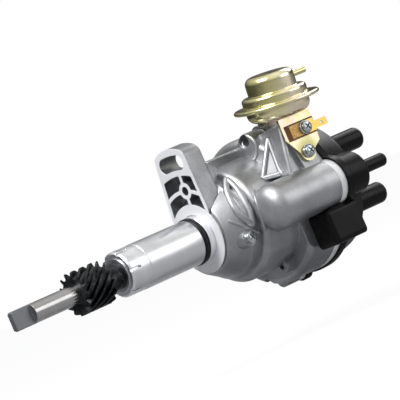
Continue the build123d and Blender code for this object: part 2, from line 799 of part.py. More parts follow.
rod_length = can_z / cos(can_lean)
with BuildPart() as pull_rod:
    can_shell((0, cover_foot - cup_thick / 2), (cup_r, cover_foot - cup_thick / 2),
              (cup_r, cover_foot + cup_thick / 2), (0, cover_foot + cup_thick / 2))
    rod(can_plane.offset(cover_foot), -rod_length - cover_foot + eye_r, rod_r)
    eye_centre = can_plane.from_local_coords((0, 0, -rod_length))
    eye_plane = Plane(eye_centre, x_dir=can_plane.y_dir, z_dir=(1, 0, 0))
    eye_hole_r = vacuum_pin_r + loose_fit
    with BuildSketch(eye_plane.offset(-eye_thick / 2)) as eye:
        SlotOverall(2 * (eye_r + eye_slack), 2 * eye_r)
        SlotOverall(2 * (eye_hole_r + eye_slack), 2 * eye_hole_r, mode=Mode.SUBTRACT)
    extrude(eye.sketch, amount=eye_thick)
save(pull_rod.part, "pull_rod")

# Bracket that carries the can on the pedestal
with BuildPart() as can_bracket:
    rod(can_plane.offset(-base_depth), -bracket_thick, bracket_seat_r)
    block(can_x - bracket_seat_r, can_x + bracket_seat_r, -2 * rim_r, bracket_face_y, 0, 2 * can_z,
          mode=Mode.SUBTRACT)
    tongue_top_z = can_z - base_depth - bracket_drop
    with BuildSketch(facing_front(0, pedestal_front_y, 0)) as tongue:
        with BuildLine():
            Polyline((can_x - tongue_top_half, tongue_top_z), (can_x - tongue_left_half, tongue_left_z),
                     (can_x - bracket_round_r, low_screw_z), (can_x + bracket_round_r, low_screw_z),
                     (can_x + tongue_foot_half, tongue_foot_z), (can_x + tongue_right_half, tongue_right_z),
                     (can_x + tongue_top_half, tongue_top_z), close=True)
        make_face()
        with Locations((can_x, low_screw_z)):
            Circle(bracket_round_r)
    extrude(tongue.sketch, amount=bracket_thick)
    rod(can_plane, -2 * base_depth, rod_bore_r, mode=Mode.SUBTRACT)
    for screw_x, screw_z in ((can_x, low_screw_z), (high_screw_x, high_screw_z)):
        rod(facing_front(screw_x, pedestal_front_y, screw_z), bracket_thick, screw_r + screw_fit,
            mode=Mode.SUBTRACT)
save(can_bracket.part, "can_bracket")

with BuildPart() as bracket_screw:
    screw(facing_front(can_x, bracket_face_y, low_screw_z), screw_length)
save(bracket_screw.part, "bracket_screw")

with BuildPart() as terminal_board:
    block(board_x, board_x + board_length, board_face_y, bracket_face_y, board_low_z, board_high_z)
    rod(facing_front(high_screw_x, bracket_face_y, high_screw_z), board_thick, screw_r + screw_fit,
        mode=Mode.SUBTRACT)
save(terminal_board.part, "terminal_board")

with BuildPart() as terminal_tab:
    block(board_x + terminal_inset, board_x + board_length - terminal_inset, terminal_face_y, board_face_y,
          board_low_z + terminal_inset, board_high_z - terminal_inset)
    block(board_x + board_length - terminal_inset, board_x + board_length + spade_length, terminal_face_y,
          board_face_y, spade_z - spade_half, spade_z + spade_half)
    rod(facing_front(high_screw_x, board_face_y, high_screw_z), terminal_thick, screw_r + screw_fit,
        mode=Mode.SUBTRACT)
    rod(facing_front(board_x + board_length + spade_length / 2, board_face_y, spade_z), terminal_thick,
        spade_hole_r, mode=Mode.SUBTRACT)
save(terminal_tab.part, "terminal_tab")

with BuildPart() as terminal_screw:
    screw(facing_front(high_screw_x, terminal_face_y, high_screw_z), screw_length)
save(terminal_screw.part, "terminal_screw")

# Connector socket on the flat side of the rim
connector_end_x = connector_x + connector_length
with BuildPart() as connector:
    block(connector_x, connector_end_x, connector_front_y, recess_y, connector_low_z, connector_high_z)
    fillet(connector.edges().filter_by(Axis.X).group_by(Axis.Y)[0], connector_round)
    fillet(connector.faces().sort_by(Axis.X)[0].edges().sort_by(Axis.Y)[0], connector_round)
    block(connector_end_x - connector_depth, connector_end_x, connector_front_y + connector_wall,
          recess_y - connector_wall, connector_low_z + connector_wall, connector_high_z - connector_wall,
          mode=Mode.SUBTRACT)
save(connector.part, "connector")

with BuildPart() as connector_pins:
    for count in range(pin_count):
        pin_z = (connector_low_z + connector_high_z) / 2 + (count - (pin_count - 1) / 2) * pin_pitch
        rod(along_x(connector_end_x - connector_depth, (connector_front_y + recess_y) / 2, pin_z),
            pin_length, pin_r)
save(connector_pins.part, "connector_pins")

# Governor plate with weight posts and spring posts
with BuildPart() as governor_plate:
    tube(governor_x, governor_x + governor_thick, governor_r, shaft_r)
    for side in (1, -1):
        rod(along_x(governor_x, 0, side * pivot_reach), cam_plate_x - loose_fit - governor_x, pivot_r)
        post_y = side * spring_low_reach * cos(radians(spring_low_deg))
        post_z = side * spring_low_reach * sin(radians(spring_low_deg))
        rod(along_x(governor_x, post_y, post_z), spring_x + spring_r - governor_x, spring_post_r)
save(governor_plate.part, "governor_plate")

# Governor weights: one, and its half-turn twin
for number, side in ((1, 1), (2, -1)):
    with BuildPart() as weight:
        with BuildSketch(along_x(weight_x, 0, 0)) as sector:
            Circle(weight_outer_r)
            Circle(weight_inner_r, mode=Mode.SUBTRACT)
            with BuildLine() as wedge:
                far = 3 * weight_outer_r
                middle_deg = (weight_start_deg + weight_end_deg) / 2
                Polyline((0, 0), *[
                    (far * cos(radians(corner)), far * sin(radians(corner)))
                    for corner in (weight_start_deg, middle_deg, weight_end_deg)
                ], close=True)
            make_face(mode=Mode.INTERSECT)
        half_turn = Location((0, 0, 0), (90 - 90 * side, 0, 0))
        extrude(sector.sketch.moved(half_turn), amount=weight_thick)
        rod(along_x(weight_x, 0, side * pivot_reach), weight_thick, pivot_r + running_fit, mode=Mode.SUBTRACT)
        rod(along_x(weight_x, side * drive_reach, -side * drive_drop),
            cam_plate_x + cam_plate_thick - weight_x, drive_r)
    save(weight.part, "governor_weight_%d" % number)

with BuildPart() as governor_springs:
    for side in (1, -1):
        low = Vector(spring_x, side * spring_low_reach * cos(radians(spring_low_deg)),
                     side * spring_low_reach * sin(radians(spring_low_deg)))
        high = Vector(spring_x, side * spring_high_reach * cos(radians(spring_high_deg)),
                      side * spring_high_reach * sin(radians(spring_high_deg)))
        run = (high - low).normalized()
        start = low + run * spring_post_r
        rod(Plane(start, z_dir=run), (high - low).length - 2 * spring_post_r, spring_r)
save(governor_springs.part, "governor_springs")

# Cam sleeve with its plate, running on the shaft
with BuildPart() as cam_sleeve:
    tube(cam_plate_x, sleeve_top_x, sleeve_r)
    tube(cam_plate_x, cam_plate_x + cam_plate_thick, cam_plate_r)
    for side in (1, -1):
        post_y = side * spring_high_reach * cos(radians(spring_high_deg))
        post_z = side * spring_high_reach * sin(radians(spring_high_deg))
        rod(along_x(spring_x - spring_r, post_y, post_z), cam_plate_x - spring_x + spring_r, spring_post_r)
        window_y = side * (drive_reach + drive_swing / 2)
        with BuildSketch(along_x(cam_plate_x, window_y, -side * drive_slot_drop)) as window:
            SlotOverall(drive_swing + 2 * (drive_r + drive_slack), 2 * (drive_r + drive_slack))
        extrude(window.sketch, amount=cam_plate_thick, mode=Mode.SUBTRACT)
    tube(cam_plate_x, shaft_top_x + loose_fit, shaft_r + running_fit, mode=Mode.SUBTRACT)
save(cam_sleeve.part, "cam_sleeve")

with BuildPart() as reluctor:
    tube(reluctor_x, reluctor_x + reluctor_thick, reluctor_core_r)
    for tooth in range(4):
        with BuildSketch(Plane.YZ.offset(reluctor_x)) as star:
            with Locations(Rotation(0, 0, 45 + 90 * tooth)):
                with Locations((reluctor_tip_r / 2, 0)):
                    Rectangle(reluctor_tip_r, reluctor_tooth)
        extrude(star.sketch, amount=reluctor_thick)
    tube(reluctor_x, reluctor_x + reluctor_thick, sleeve_r, mode=Mode.SUBTRACT)
save(reluctor.part, "reluctor")

# Rotor arm and its contact
with BuildPart() as rotor_arm:
    tube(rotor_x, rotor_top_x, rotor_hub_r)
    block(rotor_arm_x, rotor_top_x, -rotor_arm_half, rotor_arm_half, -rotor_tail, rotor_arm_reach)
    tube(rotor_x, sleeve_top_x, sleeve_r, mode=Mode.SUBTRACT)
save(rotor_arm.part, "rotor_arm")

with BuildPart() as rotor_contact:
    block(rotor_top_x, rotor_top_x + rotor_contact_thick, -rotor_contact_half, rotor_contact_half,
          -rotor_contact_half, tower_reach - contact_r - rotor_gap)
save(rotor_contact.part, "rotor_contact")

# Fixed base plate, pickup plate that the vacuum can turns, pickup coil and dust cover
with BuildPart() as base_plate:
    extrude(hollow_outline(hollow_r).moved(Location((rim_floor_x, 0, 0))), amount=base_plate_thick)
    tube(rim_floor_x, pickup_plate_x + pickup_plate_thick, collar_r)
    tube(rim_floor_x, pickup_plate_x + pickup_plate_thick, collar_r - collar_wall, mode=Mode.SUBTRACT)
save(base_plate.part, "base_plate")

with BuildPart() as pickup_plate:
    tube(pickup_plate_x, pickup_plate_x + pickup_plate_thick, pickup_plate_r, collar_r + running_fit)
    vacuum_pin_top_x = can_x + eye_thick / 2 + vacuum_pin_proud
    rod(along_x(pickup_plate_x, -vacuum_pin_reach, 0), vacuum_pin_top_x - pickup_plate_x, vacuum_pin_r)
    notch_y = recess_y + 2 * recess_wall + plate_notch_gap
    block(pickup_plate_x, pickup_plate_x + pickup_plate_thick, -2 * rim_r, notch_y, -2 * rim_r,
          plate_notch_z, mode=Mode.SUBTRACT)
save(pickup_plate.part, "pickup_plate")

core_start = reluctor_tip_r + pickup_gap
with BuildPart() as pickup_coil:
    block(pickup_plate_x + pickup_plate_thick, reluctor_x + reluctor_thick, core_start,
          core_start + core_length, -reluctor_tooth / 2, reluctor_tooth / 2)
    block(pickup_plate_x + pickup_plate_thick, reluctor_x + reluctor_thick, core_start + core_length,
          core_start + core_length + coil_length, -coil_half, coil_half)
    fillet(pickup_coil.edges().filter_by(Axis.X).sort_by(Axis.Y)[-2:], coil_round)
save(pickup_coil.part, "pickup_coil")

with BuildPart() as dust_cover:
    extrude(hollow_outline(hollow_r).moved(Location((dust_x, 0, 0))), amount=dust_thick)
    tube(dust_x, dust_x + dust_thick, rotor_hub_r + dust_hole_gap, mode=Mode.SUBTRACT)
save(dust_cover.part, "dust_cover")
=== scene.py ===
"""The looks of the ignition distributor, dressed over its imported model."""
import json
import math

import bpy
from mathutils import Matrix, Vector


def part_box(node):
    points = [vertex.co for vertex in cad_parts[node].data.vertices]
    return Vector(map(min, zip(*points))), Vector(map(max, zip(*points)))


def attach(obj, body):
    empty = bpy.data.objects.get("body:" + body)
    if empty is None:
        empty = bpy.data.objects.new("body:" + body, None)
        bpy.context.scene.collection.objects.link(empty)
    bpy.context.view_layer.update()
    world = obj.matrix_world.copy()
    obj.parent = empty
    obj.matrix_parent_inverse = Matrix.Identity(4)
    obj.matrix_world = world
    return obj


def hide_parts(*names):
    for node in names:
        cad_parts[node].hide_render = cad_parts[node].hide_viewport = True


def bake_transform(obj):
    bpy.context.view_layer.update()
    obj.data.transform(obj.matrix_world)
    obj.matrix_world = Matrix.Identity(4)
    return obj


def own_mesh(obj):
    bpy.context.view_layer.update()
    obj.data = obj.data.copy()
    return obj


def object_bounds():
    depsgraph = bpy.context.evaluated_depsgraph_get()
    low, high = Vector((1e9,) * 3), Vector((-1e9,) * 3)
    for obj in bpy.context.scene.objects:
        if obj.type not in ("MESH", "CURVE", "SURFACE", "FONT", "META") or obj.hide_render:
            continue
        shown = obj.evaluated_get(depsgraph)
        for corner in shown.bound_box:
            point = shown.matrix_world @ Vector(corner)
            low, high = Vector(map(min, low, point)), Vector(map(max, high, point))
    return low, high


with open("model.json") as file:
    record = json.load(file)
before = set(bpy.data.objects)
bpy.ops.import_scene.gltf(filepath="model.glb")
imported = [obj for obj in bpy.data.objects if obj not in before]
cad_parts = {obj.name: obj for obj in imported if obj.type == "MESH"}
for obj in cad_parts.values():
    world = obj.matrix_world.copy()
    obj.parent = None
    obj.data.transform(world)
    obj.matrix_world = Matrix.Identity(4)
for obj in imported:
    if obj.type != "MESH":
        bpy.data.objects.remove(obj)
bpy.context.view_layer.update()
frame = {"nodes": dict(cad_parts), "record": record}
millimetre = 0.001

# Camera at the photograph's viewing angle
view_right = Vector((0.714, -0.579, -0.397)).normalized()
view_up = Vector((0.309, -0.250, 0.918)).normalized()
view_back = view_right.cross(view_up).normalized()
camera_distance = 1.5
camera_reach = 20
scale_px_per_mm = 1.647
frame_px = 400.0
origin_px = Vector((200.6, 238.8))
sensor_mm = 36.0

# Directions and places of the model that the new pieces and the finishes follow
along_shaft = Vector((1, 0, 0))
bracket_side = Vector((0, -1, 0))
can_lean = math.radians(8.7)
can_axis = Vector((0, -math.sin(can_lean), math.cos(can_lean)))
can_centre = Vector((66, -40, 57)) * millimetre
can_rim_r = 26.5 * millimetre
machined_end_x = 0.1 * millimetre
tang_length = 13.7 * millimetre
tang_end_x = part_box("shaft")[0][0] + tang_length
blade_start_x = 69.0 * millimetre
bracket_face_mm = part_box("can_bracket")[0][1] / millimetre
tab_face_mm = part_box("terminal_tab")[0][1] / millimetre


def put(tree, socket, value):
    """Link another socket to this one, or set a plain number or colour on it."""
    if isinstance(value, bpy.types.NodeSocket):
        tree.links.new(value, socket)
    else:
        socket.default_value = value


def math_node(tree, kind, *values):
    """A maths node on sockets or numbers."""
    node = tree.nodes.new("ShaderNodeMath")
    node.operation = kind
    for socket, value in zip(node.inputs, values):
        put(tree, socket, value)
    return node.outputs[0]


def spread(tree, value, low, high, to_low=0.0, to_high=1.0):
    """Map a value from one range to another, clamped."""
    node = tree.nodes.new("ShaderNodeMapRange")
    put(tree, node.inputs["Value"], value)
    for label, number in (("From Min", low), ("From Max", high), ("To Min", to_low), ("To Max", to_high)):
        put(tree, node.inputs[label], number)
    return node.outputs["Result"]


def noise(tree, place, scale, detail, rough):
    """A noise at a place; the scale may be a socket."""
    node = tree.nodes.new("ShaderNodeTexNoise")
    for label, value in (("Vector", place), ("Scale", scale), ("Detail", detail), ("Roughness", rough)):
        put(tree, node.inputs[label], value)
    return node.outputs["Fac"]


def blend_colour(tree, factor, first, second, kind="MIX"):
    """Mix two colours, each a socket or a plain colour."""
    colour_a, colour_b, colour_result = 6, 7, 2
    node = tree.nodes.new("ShaderNodeMix")
    node.data_type = "RGBA"
    node.blend_type = kind
    put(tree, node.inputs["Factor"], factor)
    put(tree, node.inputs[colour_a], first)
    put(tree, node.inputs[colour_b], second)
    return node.outputs[colour_result]


def blend_value(tree, factor, first, second):
    """Mix two values that vary over the surface."""
    gap = math_node(tree, "SUBTRACT", second, first)
    return math_node(tree, "ADD", first, math_node(tree, "MULTIPLY", gap, factor))


def mix_shaders(tree, factor, first, second):
    """Mix two shaders by a factor."""
    node = tree.nodes.new("ShaderNodeMixShader")
    for socket, value in zip(node.inputs, (factor, first, second)):
        put(tree, socket, value)
    return node.outputs["Shader"]


def background(tree, strength, colour=(1, 1, 1, 1)):
    """A surround of one colour, with its strength as a number or a socket."""
    node = tree.nodes.new("ShaderNodeBackground")
    put(tree, node.inputs["Color"], colour)
    put(tree, node.inputs["Strength"], strength)
    return node.outputs["Background"]


def place_camera():
    """A long lens that looks along the photograph's line of sight, rolled as the photograph is."""
    data = bpy.data.cameras.new("camera")
    camera = bpy.data.objects.new("camera", data)
    bpy.context.collection.objects.link(camera)
    across = (frame_px / 2 - origin_px.x) / scale_px_per_mm * millimetre
    above = (origin_px.y - frame_px / 2) / scale_px_per_mm * millimetre
    target = view_right * across + view_up * above
    turn = Matrix((view_right, view_up, view_back)).transposed().to_4x4()
    camera.matrix_world = Matrix.Translation(target + view_back * camera_distance) @ turn
    data.sensor_width = sensor_mm
    data.lens = scale_px_per_mm * camera_distance / millimetre / frame_px * sensor_mm
    data.clip_end = camera_reach
    bpy.context.scene.camera = camera


def area_lamp(name, direction, distance, size, power):
    """A soft lamp that faces the object from the given direction."""
    data = bpy.data.lights.new(name, "AREA")
    data.shape = "SQUARE"
    data.size = size
    data.energy = power
    lamp = bpy.data.objects.new(name, data)
    bpy.context.collection.objects.link(lamp)
    spot = direction.normalized() * distance
    lamp.location = spot
    lamp.rotation_euler = (-spot).to_track_quat("-Z", "Y").to_euler()


def light_studio():
    """A surround that is white to the camera and falls off downwards in reflections, and three lamps."""
    scene = bpy.context.scene
    scene.view_settings.view_transform = "Standard"
    scene.world = bpy.data.worlds.new("studio")
    scene.world.use_nodes = True
    tree = scene.world.node_tree
    tree.nodes.clear()
    path = tree.nodes.new("ShaderNodeLightPath")
    place = tree.nodes.new("ShaderNodeTexCoord")
    height = tree.nodes.new("ShaderNodeVectorMath")
    height.operation = "DOT_PRODUCT"
    put(tree, height.inputs[0], place.outputs["Generated"])
    brightest = view_up * 0.9 - view_right * 0.3 + view_back * 0.3
    put(tree, height.inputs[1], brightest.normalized())
    fall = spread(tree, height.outputs["Value"], low=-0.05, high=0.9, to_low=0.04, to_high=0.95)
    dim = background(tree, strength=0.30, colour=(0.93, 0.95, 1.0, 1))
    walls = background(tree, strength=fall)
    white = background(tree, strength=1.0)
    unseen = mix_shaders(tree, path.outputs["Is Glossy Ray"], dim, walls)
    shown = mix_shaders(tree, path.outputs["Is Camera Ray"], unseen, white)
    put(tree, tree.nodes.new("ShaderNodeOutputWorld").inputs["Surface"], shown)
    over_left = view_back * 0.7 + view_up * 0.9 - view_right * 0.9
    from_right = Vector((0.63, -0.78, 0.12))
    from_behind = -view_back * 0.8 + view_up * 0.9 + view_right * 0.4
    area_lamp("key_lamp", over_left, distance=1.2, size=0.7, power=17)
    area_lamp("right_lamp", from_right, distance=1.3, size=1.0, power=5)
    area_lamp("rim_lamp", from_behind, distance=1.3, size=0.6, power=4)


def white_floor():
    """A pale floor below the part, white to the camera apart from the soft shadow."""
    floor_size = 8
    floor_drop = 30 * millimetre
    camera_glow = 1.15
    glow_share = 0.82
    bpy.ops.object.select_all(action="DESELECT")
    floor_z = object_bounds()[0][2] - floor_drop
    bpy.ops.mesh.primitive_plane_add(size=floor_size, location=(0, 0, floor_z))
    floor = bpy.context.object
    floor.name = "floor"
    material = bpy.data.materials.new("pale_floor")
    material.use_nodes = True
    tree = material.node_tree
    shader = tree.nodes["Principled BSDF"]
    put(tree, shader.inputs["Base Color"], (0.34, 0.34, 0.35, 1))
    put(tree, shader.inputs["Roughness"], 0.9)
    path = tree.nodes.new("ShaderNodeLightPath")
    glow = tree.nodes.new("ShaderNodeEmission")
    put(tree, glow.inputs["Strength"], camera_glow)
    share = math_node(tree, "MULTIPLY", path.outputs["Is Camera Ray"], glow_share)
    shown = mix_shaders(tree, share, shader.outputs["BSDF"], glow.outputs["Emission"])
    put(tree, tree.nodes["Material Output"].inputs["Surface"], shown)
    floor.data.materials.append(material)


def new_group(name, numbers, colours, outputs):
    """An empty shader group, with its input and output sockets and the object's own coordinates."""
    group = bpy.data.node_groups.new(name, "ShaderNodeTree")
    for kind, inputs in (("NodeSocketFloat", numbers), ("NodeSocketColor", colours)):
        for label, value in inputs.items():
            socket = group.interface.new_socket(label, in_out="INPUT", socket_type=kind)
            socket.default_value = value
    for label, kind in outputs.items():
        group.interface.new_socket(label, in_out="OUTPUT", socket_type=kind)
    given = group.nodes.new("NodeGroupInput").outputs
    result = group.nodes.new("NodeGroupOutput").inputs
    place = group.nodes.new("ShaderNodeTexCoord").outputs["Object"]
    return group, given, result, place


def make_cast_grain():
    """Speckle, cloudy tone and a fine pebbled height, as on a die casting or a moulding."""
    group, given, result, place = new_group(
        "cast_grain", {"Scale": 900.0, "Tone": 0.15}, {"Colour": (0.5, 0.5, 0.5, 1)},
        {"Colour": "NodeSocketColor", "Height": "NodeSocketFloat"})
    cloud_share = 0.7
    fleck_share = 0.3
    pebble = noise(group, place, given["Scale"], detail=4.0, rough=0.65)
    cloud = noise(group, place, scale=38.0, detail=3.0, rough=0.55)
    fleck = spread(group, pebble, low=0.58, high=0.72)
    tone = math_node(group, "ADD", math_node(group, "MULTIPLY", cloud, cloud_share),
                     math_node(group, "MULTIPLY", fleck, fleck_share))
    dark = blend_colour(group, 1.0, given["Colour"], (0.72, 0.73, 0.75, 1), "MULTIPLY")
    light = blend_colour(group, 1.0, given["Colour"], (1.7, 1.7, 1.7, 1), "MULTIPLY")
    ranged = blend_colour(group, spread(group, tone, low=0.25, high=0.65), dark, light)
    put(group, result["Colour"], blend_colour(group, given["Tone"], given["Colour"], ranged))
    put(group, result["Height"], pebble)
    return group


def make_turned_marks():
    """Fine lathe rings along the shaft axis, with broad bands of brighter and duller metal."""
    group, given, result, place = new_group(
        "turned_marks", {"Pitch": 2600.0, "Band": 55.0}, {},
        {"Shade": "NodeSocketFloat", "Height": "NodeSocketFloat"})
    split = group.nodes.new("ShaderNodeSeparateXYZ")
    put(group, split.inputs[0], place)
    x, y, z = split.outputs
    squares = math_node(group, "ADD", math_node(group, "MULTIPLY", y, y), math_node(group, "MULTIPLY", z, z))
    reach = math_node(group, "SQRT", squares)
    line = group.nodes.new("ShaderNodeCombineXYZ")
    put(group, line.inputs["X"], math_node(group, "ADD", x, reach))
    put(group, result["Shade"], noise(group, line.outputs[0], given["Band"], detail=4.0, rough=0.6))
    put(group, result["Height"], noise(group, line.outputs[0], given["Pitch"], detail=2.0, rough=0.6))
    return group


def make_handling_marks():
    """Small rubs and fingerprints that lift the roughness here and there."""
    group, given, result, place = new_group(
        "handling_marks", {"Low": 0.25, "High": 0.45, "Scale": 90.0}, {}, {"Roughness": "NodeSocketFloat"})
    patch = noise(group, place, given["Scale"], detail=5.0, rough=0.7)
    rough = spread(group, patch, low=0.35, high=0.65, to_low=given["Low"], to_high=given["High"])
    put(group, result["Roughness"], rough)
    return group


cast_grain = make_cast_grain()
turned_marks = make_turned_marks()
handling_marks = make_handling_marks()


class Finish:
    """One material under construction: its tree, its shader and short ways to feed it."""

    def __init__(self, name, metallic=0.0, gloss=0.5):
        self.material = bpy.data.materials.new(name)
        self.material.use_nodes = True
        self.tree = self.material.node_tree
        self.shader = self.tree.nodes["Principled BSDF"]
        self.shader.inputs["Metallic"].default_value = metallic
        self.shader.inputs["Specular IOR Level"].default_value = gloss
        self.place = self.tree.nodes.new("ShaderNodeTexCoord").outputs["Object"]

    def use(self, group, **values):
        """Place a group with its own values and give its outputs."""
        node = self.tree.nodes.new("ShaderNodeGroup")
        node.node_tree = group
        for label, value in values.items():
            put(self.tree, node.inputs[label], value)
        return node.outputs

    def rubbed(self, low, high, scale):
        """The roughness of a handled surface."""
        return self.use(handling_marks, Low=low, High=high, Scale=scale)["Roughness"]

    def noise(self, scale, detail, rough):
        """A noise that is fixed to the piece."""
        return noise(self.tree, self.place, scale, detail, rough)

    def before(self, place_x, fade=0.2 * millimetre):
        """One up to a place along the shaft's axis, and nought past it."""
        split = self.tree.nodes.new("ShaderNodeSeparateXYZ")
        put(self.tree, split.inputs[0], self.place)
        return spread(self.tree, split.outputs["X"], low=place_x + fade, high=place_x)

    def feed(self, colour, rough):
        """Set the colour and the roughness of the shader."""
        put(self.tree, self.shader.inputs["Base Color"], colour)
        put(self.tree, self.shader.inputs["Roughness"], rough)

    def bump(self, height, strength, depth=0.1 * millimetre, edge=0.0):
        """A fine relief, with the edges rounded to a radius in the shading."""
        node = self.tree.nodes.new("ShaderNodeBump")
        for label, value in (("Height", height), ("Strength", strength), ("Distance", depth)):
            put(self.tree, node.inputs[label], value)
        if edge:
            round_off = self.tree.nodes.new("ShaderNodeBevel")
            round_off.samples = 8
            put(self.tree, round_off.inputs["Radius"], edge)
            put(self.tree, node.inputs["Normal"], round_off.outputs["Normal"])
        put(self.tree, self.shader.inputs["Normal"], node.outputs["Normal"])


def cast_metal(name, colour, turned_dark, turned_light, turned_metal=1.0, turned_rough=0.26):
    """Blasted die casting that is turned or milled metal up to the machined face."""
    cast_metallic = 0.88
    rough_range = 0.14
    finish = Finish(name)
    tree = finish.tree
    grain = finish.use(cast_grain, Scale=1300.0, Tone=0.8, Colour=colour)
    rings = finish.use(turned_marks)
    rub = finish.rubbed(low=0.34, high=0.50, scale=55.0)
    turned = finish.before(machined_end_x)
    bright = blend_colour(tree, rings["Shade"], turned_dark, turned_light)
    smooth = spread(tree, rings["Shade"], low=0.3, high=0.7, to_low=turned_rough,
                    to_high=turned_rough + rough_range)
    finish.feed(blend_colour(tree, turned, grain["Colour"], bright), blend_value(tree, turned, rub, smooth))
    metallic = spread(tree, turned, low=0.0, high=1.0, to_low=cast_metallic, to_high=turned_metal)
    put(tree, finish.shader.inputs["Metallic"], metallic)
    relief = blend_value(tree, turned, grain["Height"], rings["Height"])
    finish.bump(relief, strength=0.16, edge=0.6 * millimetre)
    return finish.material


def moulded_plastic(name, colour, rough, tone=0.5, gloss=0.5):
    """Moulded plastic with a faint pebble, a slight sheen and handling marks."""
    finish = Finish(name, gloss=gloss)
    grain = finish.use(cast_grain, Scale=1800.0, Tone=tone, Colour=colour)
    finish.feed(grain["Colour"], finish.rubbed(*rough, scale=60.0))
    finish.bump(grain["Height"], strength=0.2, edge=0.6 * millimetre)
    return finish.material


def ground_steel():
    """Ground steel with fine rings and duller bands, and a matt milled tang at its end."""
    tang_colour = (0.22, 0.23, 0.24, 1)
    tang_dullness = 0.32
    finish = Finish("ground_shaft", metallic=1.0)
    tree = finish.tree
    milled = finish.before(tang_end_x)
    rings = finish.use(turned_marks, Pitch=3200.0, Band=70.0)
    rub = finish.rubbed(low=0.16, high=0.26, scale=120.0)
    ground = blend_colour(tree, rings["Shade"], (0.36, 0.35, 0.35, 1), (0.58, 0.57, 0.56, 1))
    duller = math_node(tree, "MULTIPLY", milled, tang_dullness)
    finish.feed(blend_colour(tree, milled, ground, tang_colour), math_node(tree, "ADD", rub, duller))
    finish.bump(rings["Height"], strength=0.05, edge=0.5 * millimetre)
    return finish.material


def plated_metal(name, dark, light, rough):
    """Plated or bare sheet metal with a soft mottle."""
    finish = Finish(name, metallic=1.0)
    mottle = spread(finish.tree, finish.noise(scale=260.0, detail=4.0, rough=0.6), low=0.35, high=0.65)
    finish.feed(blend_colour(finish.tree, mottle, dark, light), finish.rubbed(*rough, scale=150.0))
    finish.bump(finish.noise(scale=2400.0, detail=2.0, rough=0.5), strength=0.12, edge=0.4 * millimetre)
    return finish.material


def yellow_passivated(name, painted_brightness, blush, drift_scale):
    """Yellow passivated zinc: gold that drifts to a blush colour; the brightness factor scales the whole
    colour as painted light, paler on the can for its bright highlights and darker on the bracket that faces
    the lamps.
    """
    finish = Finish(name, metallic=0.95)
    ramp = finish.tree.nodes.new("ShaderNodeValToRGB")
    put(finish.tree, ramp.inputs["Fac"], finish.noise(drift_scale, detail=1.5, rough=0.5))
    stops = ramp.color_ramp.elements
    stops.remove(stops[1])
    tints = ((0.30, (0.46, 0.42, 0.20)), (0.42, (0.60, 0.55, 0.28)), (0.54, (0.78, 0.71, 0.46)),
             (0.66, blush), (0.74, (0.66, 0.60, 0.34)))
    for count, (position, colour) in enumerate(tints):
        stop = stops.new(position) if count else stops[0]
        stop.position = position
        # Scaling the colour by the brightness factor paints light and shade into it.
        stop.color = [part * painted_brightness for part in colour] + [1]
    finish.feed(ramp.outputs["Color"], finish.rubbed(low=0.13, high=0.24, scale=110.0))
    finish.bump(finish.noise(scale=1500.0, detail=3.0, rough=0.6), strength=0.05)
    return finish.material


def oiled_rubber():
    """Black rubber, slightly shiny from oil."""
    finish = Finish("oiled_rubber", gloss=0.25)
    patch = finish.noise(scale=400.0, detail=3.0, rough=0.6)
    finish.feed(blend_colour(finish.tree, patch, (0.004, 0.004, 0.004, 1), (0.012, 0.012, 0.013, 1)),
                spread(finish.tree, patch, low=0.35, high=0.65, to_low=0.3, to_high=0.5))
    finish.bump(patch, strength=0.15)
    return finish.material


def black_oiled_steel():
    """Hardened gear steel under dark oil, bright where the flanks are polished; on the gear pin this
    near-black is painted shade for the pin's hole in the hub.
    """
    finish = Finish("black_oiled_steel", metallic=0.85)
    patch = finish.noise(scale=210.0, detail=4.0, rough=0.65)
    polished = spread(finish.tree, patch, low=0.4, high=0.7)
    finish.feed(blend_colour(finish.tree, polished, (0.008, 0.009, 0.010, 1), (0.05, 0.056, 0.060, 1)),
                finish.rubbed(low=0.26, high=0.48, scale=160.0))
    finish.bump(patch, strength=0.2, depth=0.15 * millimetre, edge=0.4 * millimetre)
    return finish.material


def laminate_board():
    """Brown resin board with a fine paper fleck."""
    finish = Finish("laminate_board")
    fleck = finish.noise(scale=1100.0, detail=4.0, rough=0.7)
    finish.feed(blend_colour(finish.tree, fleck, (0.10, 0.035, 0.018, 1), (0.24, 0.10, 0.05, 1)),
                spread(finish.tree, fleck, low=0.3, high=0.7, to_low=0.35, to_high=0.55))
    finish.bump(fleck, strength=0.1, edge=0.3 * millimetre)
    return finish.material


def two_tone_brass():
    """Terminal brass, darker brown where it lies on the board and bright on the blade."""
    finish = Finish("terminal_brass", metallic=0.6)
    mottle = finish.noise(scale=500.0, detail=4.0, rough=0.6)
    on_board = finish.before(blade_start_x, fade=millimetre)
    darker_brass = blend_colour(finish.tree, mottle, (0.34, 0.19, 0.05, 1), (0.50, 0.31, 0.09, 1))
    bright = blend_colour(finish.tree, mottle, (0.86, 0.56, 0.12, 1), (0.98, 0.70, 0.20, 1))
    finish.feed(blend_colour(finish.tree, on_board, bright, darker_brass),
                finish.rubbed(low=0.22, high=0.36, scale=150.0))
    finish.bump(mottle, strength=0.06)
    return finish.material


